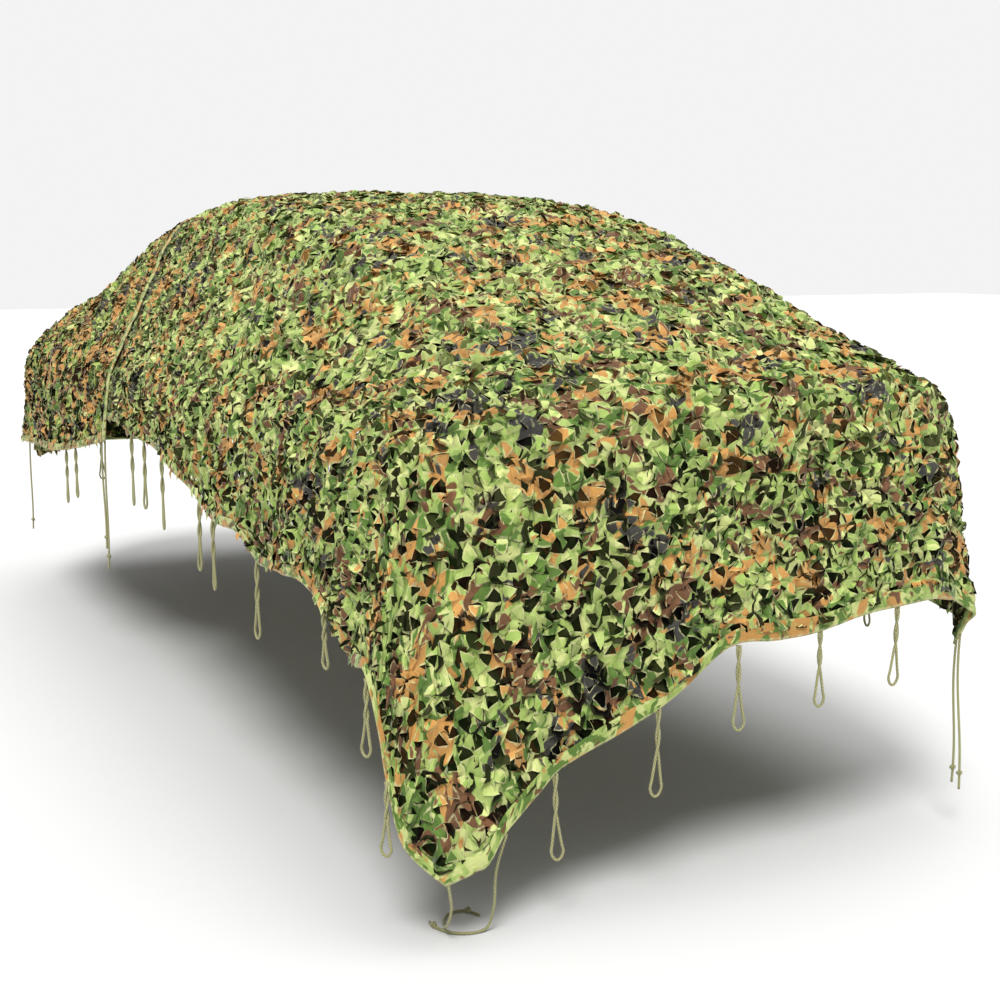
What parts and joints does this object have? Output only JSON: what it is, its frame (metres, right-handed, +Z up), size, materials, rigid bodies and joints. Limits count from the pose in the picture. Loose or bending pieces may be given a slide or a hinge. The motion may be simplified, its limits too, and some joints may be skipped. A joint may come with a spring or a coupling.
{
  "type": "camouflage net",
  "caption": "Leaf-cut camouflage net of two lapped panels with hem cords, hanging as a hollow cover over a low rounded body.",
  "frame": {"origin": "on the inner face of the net under its crown, where the roof below carries it", "axes": "+Z up, +Y towards the front of the cover, +X to its right seen from behind"},
  "size_m": [1.7209, 4.1704, 1.5004],
  "materials": {
    "rear_cloth": "matt coated polyester cloth in a woodland print of lime, mid green, tan brown and charcoal, cut into curled leaves",
    "front_cloth": "the same cloth with more olive and orange brown",
    "cord": "matt olive-tan braided cord"
  },
  "bodies": {
    "root": {"rear_panel": "rear_cloth", "front_panel": "front_cloth", "tail_front_left_1": "cord", "tail_front_right_1": "cord", "tail_lap_left_1": "cord", "tail_lap_left_2": "cord", "tail_rear_left_1": "cord", "tail_rear_left_2": "cord", "tail_rear_right_1": "cord", "tail_rear_right_2": "cord", "tie_front_1": "cord", "tie_front_2": "cord", "tie_left_1": "cord", "tie_left_10": "cord", "tie_left_11": "cord", "tie_left_2": "cord", "tie_left_3": "cord", "tie_left_4": "cord", "tie_left_5": "cord", "tie_left_6": "cord", "tie_left_7": "cord", "tie_left_8": "cord", "tie_left_9": "cord", "tie_rear_1": "cord", "tie_rear_2": "cord", "tie_rear_3": "cord", "tie_rear_4": "cord", "tie_rear_5": "cord", "tie_right_1": "cord", "tie_right_2": "cord", "tie_right_3": "cord", "tie_right_4": "cord", "tie_right_5": "cord"}
  },
  "joints": []
}
